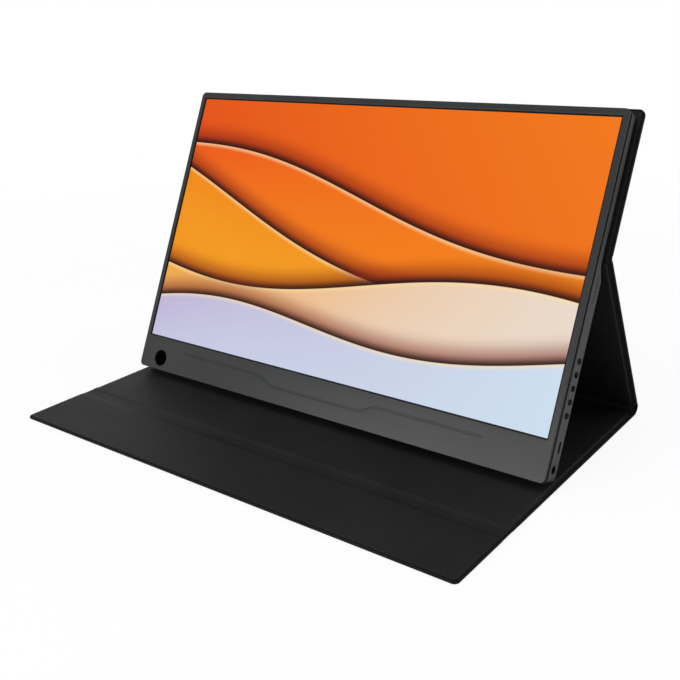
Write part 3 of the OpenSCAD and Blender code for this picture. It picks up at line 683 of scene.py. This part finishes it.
def grades(a, b, step):
    n = max(1, round((b - a) / step))
    return [a + (b - a) * i / n for i in range(n + 1)]


def rounding(r, steps):
    """Distances from an edge that step evenly round a quarter turn."""
    return [r * (1 - math.cos(math.pi / 2 * i / steps)) for i in range(steps + 1)]


def stations(lo, hi, step, extra):
    """Places from lo to hi, evenly and at the extra places, none closer together than a hair."""
    hair = 0.04
    out = []
    for v in sorted(set(grades(lo, hi, step)) | {e for e in extra if lo <= e <= hi}):
        if not out or v - out[-1] > hair:
            out.append(v)
    out[-1] = hi
    return out


class Sheet:
    """A closed sheet of the cover along a path, between two depths."""

    def __init__(self, path, depths, length, free, corner, dense):
        self.path = path
        self.depths = depths
        self.length = length
        self.free = free
        self.corner = corner
        self.dense = dense

    def lay(self, margin, edge, thick=None, sink=0.0, wave=0.0, shoulder_from=None):
        """Lays one layer. Margin is its distance from the cover's edge and edge its rounding."""
        self.half_w = COVER_W / 2 - margin
        self.lo = margin if self.free[0] else 0.0
        self.hi = self.length - margin if self.free[1] else self.length
        self.turn = max(self.corner - margin, edge)
        more = list(self.dense)
        turned = rounding(edge, EDGE_STEPS) + rounding(self.turn, CORNER_STEPS)
        for near, sign, on in ((self.lo, 1, self.free[0]), (self.hi, -1, self.free[1])):
            if on:
                more += [near + sign * d for d in turned]
        rows = stations(self.lo, self.hi, STEP_ALONG, more)
        side = rounding(edge, EDGE_STEPS) + grades(edge, EDGE_ZONE, STEP_AT_EDGE)
        side += [self.turn * i / EDGE_STEPS for i in range(1, EDGE_STEPS + 1)]
        cols = stations(0, self.half_w, STEP_ACROSS, [self.half_w - d for d in side])
        cols = [-c for c in reversed(cols) if c > 0] + cols
        bm = bmesh.new()
        uv = bm.loops.layers.uv.new("UVMap")
        grid = []
        for s in rows:
            y, z, ny, nz = self.path(s)
            low, high = self.depths(s)
            if thick:
                low = high - thick
            line = []
            for c in cols:
                x = self.fitted(c, s)
                gap = self.gap(x, s)
                r = min(edge, (high - low - sink) / 2)
                drop = r - math.sqrt(max(0.0, r * r - max(0.0, r - gap) ** 2))
                dip = wave * self.ripple(x, s) * min(1.0, gap / RIPPLE_FADE)
                if shoulder_from is not None:
                    outward = RIDGE_IN + RIDGE_W / 2 - (COVER_W / 2 - abs(x))
                    begun = smoothstep((s - shoulder_from) / RIDGE_FADE)
                    dip += RIDGE_H * smoothstep(outward / RIDGE_W) * begun
                heights = (low + drop, high - sink - drop - dip)
                under, over = (bm.verts.new(at(x, y + ny * h, z + nz * h)) for h in heights)
                line.append((under, over, (x * MM, s * MM)))
            grid.append(line)
        self.skin(bm, uv, grid)
        bmesh.ops.remove_doubles(bm, verts=bm.verts, dist=0.0001 * MM)
        return bm

    def inward(self, s):
        """How far a station lies inside the round corners, for each free end near it."""
        ends = ((s - self.lo, self.free[0]), (self.hi - s, self.free[1]))
        return [near for near, on in ends if on]

    def fitted(self, c, s):
        """The column's place, moved in where the corners narrow the sheet."""
        w = self.half_w
        for near in self.inward(s):
            if near < self.turn:
                reach = math.sqrt(max(0.0, self.turn**2 - (self.turn - near) ** 2))
                w = min(w, w - self.turn + reach)
        off = self.half_w - abs(c)
        keep = 1 if off < self.turn else w / self.half_w
        x = max(0.0, w - off * keep)
        return math.copysign(x, c)

    def gap(self, x, s):
        """Distance to the sheet's free edge."""
        side = self.half_w - abs(x)
        gap = side
        for near in self.inward(s):
            if near < self.turn and side < self.turn:
                near = self.turn - math.hypot(self.turn - near, self.turn - side)
            gap = min(gap, near)
        return max(gap, 0.0)

    def ripple(self, x, s):
        """Slow waves with quicker ones on them, round a middle of 0.5."""
        wide = noise.noise(Vector((x * 0.03, s * 0.035, 3.7)))
        tight = noise.noise(Vector((x * 0.11, s * 0.1, 1.2)))
        return 0.5 + wide * 0.5 + tight * 0.25

    def skin(self, bm, uv, grid):
        """Faces over both sides and round the four edges."""

        def face(corners):
            made = bm.faces.new([v for v, _ in corners])
            for loop, (_, place) in zip(made.loops, corners):
                loop[uv].uv = place

        for row, above in zip(grid, grid[1:]):
            for side in (0, 1):
                for j in range(len(row) - 1):
                    quad = (row[j], row[j + 1], above[j + 1], above[j])
                    face([(q[side], q[2]) for q in quad])
            for a, b in ((row[0], above[0]), (row[-1], above[-1])):
                face([(a[0], a[2]), (a[1], a[2]), (b[1], b[2]), (b[0], b[2])])
        for row in (grid[0], grid[-1]):
            for a, b in zip(row, row[1:]):
                face([(a[0], a[2]), (b[0], b[2]), (b[1], b[2]), (a[1], a[2])])


def build_cover():
    """Leather outside and cloth lining of the three runs of the cover, each crossing one fold."""
    crease_at = CREASE_FRONT - FRONT_Y
    beyond = 3.5
    dense = {
        "floor": [crease_at + d for d in grades(-beyond, CREASE_W + beyond, 0.7)],
        "leg": grades(0, FOLD_ARC + 3, 0.8),
        "back": grades(0, 2 * KINK_GAP, 0.3),
    }
    floor_len = FOLD_Y - FRONT_Y
    leg_len = FOLD_ARC + LEG_LEN
    back_len = 2 * KINK_GAP + BACK_LEN
    runs = {
        "floor": (floor_path, floor_depths, floor_len, (True, False), FLAP_CORNER),
        "leg": (leg_path, leg_depths, leg_len, (False, False), FLAP_CORNER),
        "back": (back_path, back_depths, back_len, (False, True), BACK_CORNER),
    }
    replaced = {
        "floor": (
            ["floor_skin", "flap_skin", "crease_fold", "floor_board", "flap_board"],
            ["floor_lining", "flap_lining"],
        ),
        "leg": (["leg_skin", "rear_fold", "leg_board"], ["leg_lining"]),
        "back": (["back_skin", "kink_fold", "back_board"], ["back_lining"]),
    }
    # Where the ridge inside the side edges starts on each run: behind the crease on the floor, from
    # its start on the leg, and none on the back
    shoulders = {"floor": CREASE_REAR - FRONT_Y, "leg": 0.0, "back": None}
    for name, run in runs.items():
        sheet = Sheet(*run, dense[name])
        start_at = shoulders[name]
        outside = sheet.lay(0, LEATHER_ROUND, sink=0.15, shoulder_from=start_at)
        lining = sheet.lay(LINING_IN, LINING_ROUND, thick=0.5, wave=0.1, shoulder_from=start_at)
        layers = [
            to_object(name + "_leather", outside, "leather"),
            to_object(name + "_cloth", lining, "lining"),
        ]
        for layer, nodes in zip(layers, replaced[name]):
            smooth(layer, 50)
            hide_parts(*nodes)
            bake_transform(layer)


build_bezel()
build_screen()
build_speaker_gauze_shade()
softened("rear_housing", HOUSING_ROUND, "housing", "monitor", on_front_rim)
for body, members in frame["record"]["behaviour"]["bodies"].items():
    for name in members:
        if name.endswith("_key"):
            softened(name, KEY_ROUND, "key", body)
build_cover()

# Camera, matched to the photograph
FOCAL_PX = 916.22
PICTURE_PX = 680
SENSOR = 36
OFF_CENTRE_PX = (0.44, 0.25)
CAMERA_PLACE = (0.3777, -0.45817, 0.27647)
CAMERA_YAW = math.radians(38.282)
CAMERA_PITCH = math.radians(20.251)
CAMERA_ROLL = math.radians(-2.241)


def build_camera():
    across = math.cos(CAMERA_PITCH)
    ahead = Vector((
        -math.sin(CAMERA_YAW) * across, math.cos(CAMERA_YAW) * across, -math.sin(CAMERA_PITCH)
    ))
    level = Vector((math.cos(CAMERA_YAW), math.sin(CAMERA_YAW), 0))
    over = level.cross(ahead)
    right = level * math.cos(CAMERA_ROLL) + over * math.sin(CAMERA_ROLL)
    up = over * math.cos(CAMERA_ROLL) - level * math.sin(CAMERA_ROLL)
    dx, dy = (px / FOCAL_PX for px in OFF_CENTRE_PX)
    ahead = (ahead - right * dx - up * dy).normalized()
    right = ahead.cross(up).normalized()
    up = right.cross(ahead)
    cam = bpy.data.objects.new("camera", bpy.data.cameras.new("camera"))
    bpy.context.scene.collection.objects.link(cam)
    cam.data.sensor_width = SENSOR
    cam.data.lens = FOCAL_PX / PICTURE_PX * SENSOR
    cam.data.clip_start = 0.01
    cam.data.clip_end = 50
    turn = Matrix((right, up, -ahead)).transposed().to_4x4()
    cam.matrix_world = Matrix.Translation(CAMERA_PLACE) @ turn
    bpy.context.scene.camera = cam


# Light of the world on the object, and how white the floor shows in the shadow and beyond it
WORLD_LEVEL = 0.45
SHADOW_WHITE = 0.9
SHADOW_REACH = (0.35, 1.1)


def lamp(name, place, size, power, target=(0, 0, 0.08)):
    light = bpy.data.lights.new(name, "AREA")
    light.shape = "RECTANGLE"
    light.size, light.size_y = size
    light.energy = power
    made = bpy.data.objects.new(name, light)
    bpy.context.scene.collection.objects.link(made)
    made.location = place
    made.rotation_euler = (Vector(target) - Vector(place)).to_track_quat("-Z", "Y").to_euler()


def build_world():
    world = bpy.data.worlds.new("studio")
    world.use_nodes = True
    bpy.context.scene.world = world
    nodes = Nodes(world.node_tree)
    height = nodes.split(nodes.node("TexCoord", "Generated"))[2]
    # Mirrored rays meet white walls and, high up, a darker ceiling
    walls = nodes.span(height, 0.35, 0.75, 1.0, 0.0)
    seen = nodes.seen_directly(walls)
    background = nodes.tree.nodes["Background"]
    background.inputs["Color"].default_value = (1, 1, 1, 1)
    nodes.put(background.inputs["Strength"], nodes.span(seen, 0.0, 1.0, WORLD_LEVEL, 1.0, "LINEAR"))


def build_floor():
    """Pale floor that shows white, with a faint shadow near the object."""
    bpy.ops.mesh.primitive_plane_add(size=30, location=(0, 0, -0.0002))
    ground = bpy.context.object
    ground.name = "ground"
    pale = Finish("pale_floor", "#f4f4f4", 0.9, 0, 0.0)
    place = pale.node("TexCoord", "Object")
    pale.set("Base Color", pale.mix(pale.noise(place, 6, 2), "#f1f1f1", "#f6f6f6"))
    away = pale.node("VectorMath", 1, {0: place}, operation="LENGTH")
    whiter = pale.span(away, *SHADOW_REACH, SHADOW_WHITE, 1.0)
    share = pale.math("MULTIPLY", pale.seen_directly(), whiter)
    white = pale.node("Emission")
    shown = pale.node("MixShader", 0, {0: share, 1: pale.bsdf.outputs[0], 2: white})
    pale.put(pale.tree.nodes["Material Output"].inputs["Surface"], shown)
    ground.data.materials.append(pale.mat)


build_camera()
lamp("key", (-0.3, -0.9, 2.0), (1.2, 1.2), 8)
lamp("front", (-0.3, -1.25, 0.27), (1.1, 0.3), 14.5, (0, -0.1, 0.03))
lamp("side", (1.1, 0.7, 0.5), (1.0, 0.8), 4.2)
lamp("top", (0.0, 0.5, 1.9), (1.6, 1.6), 10, (0, 0, 0))
build_world()
build_floor()
bpy.context.scene.view_settings.view_transform = "Standard"

bpy.context.view_layer.update()
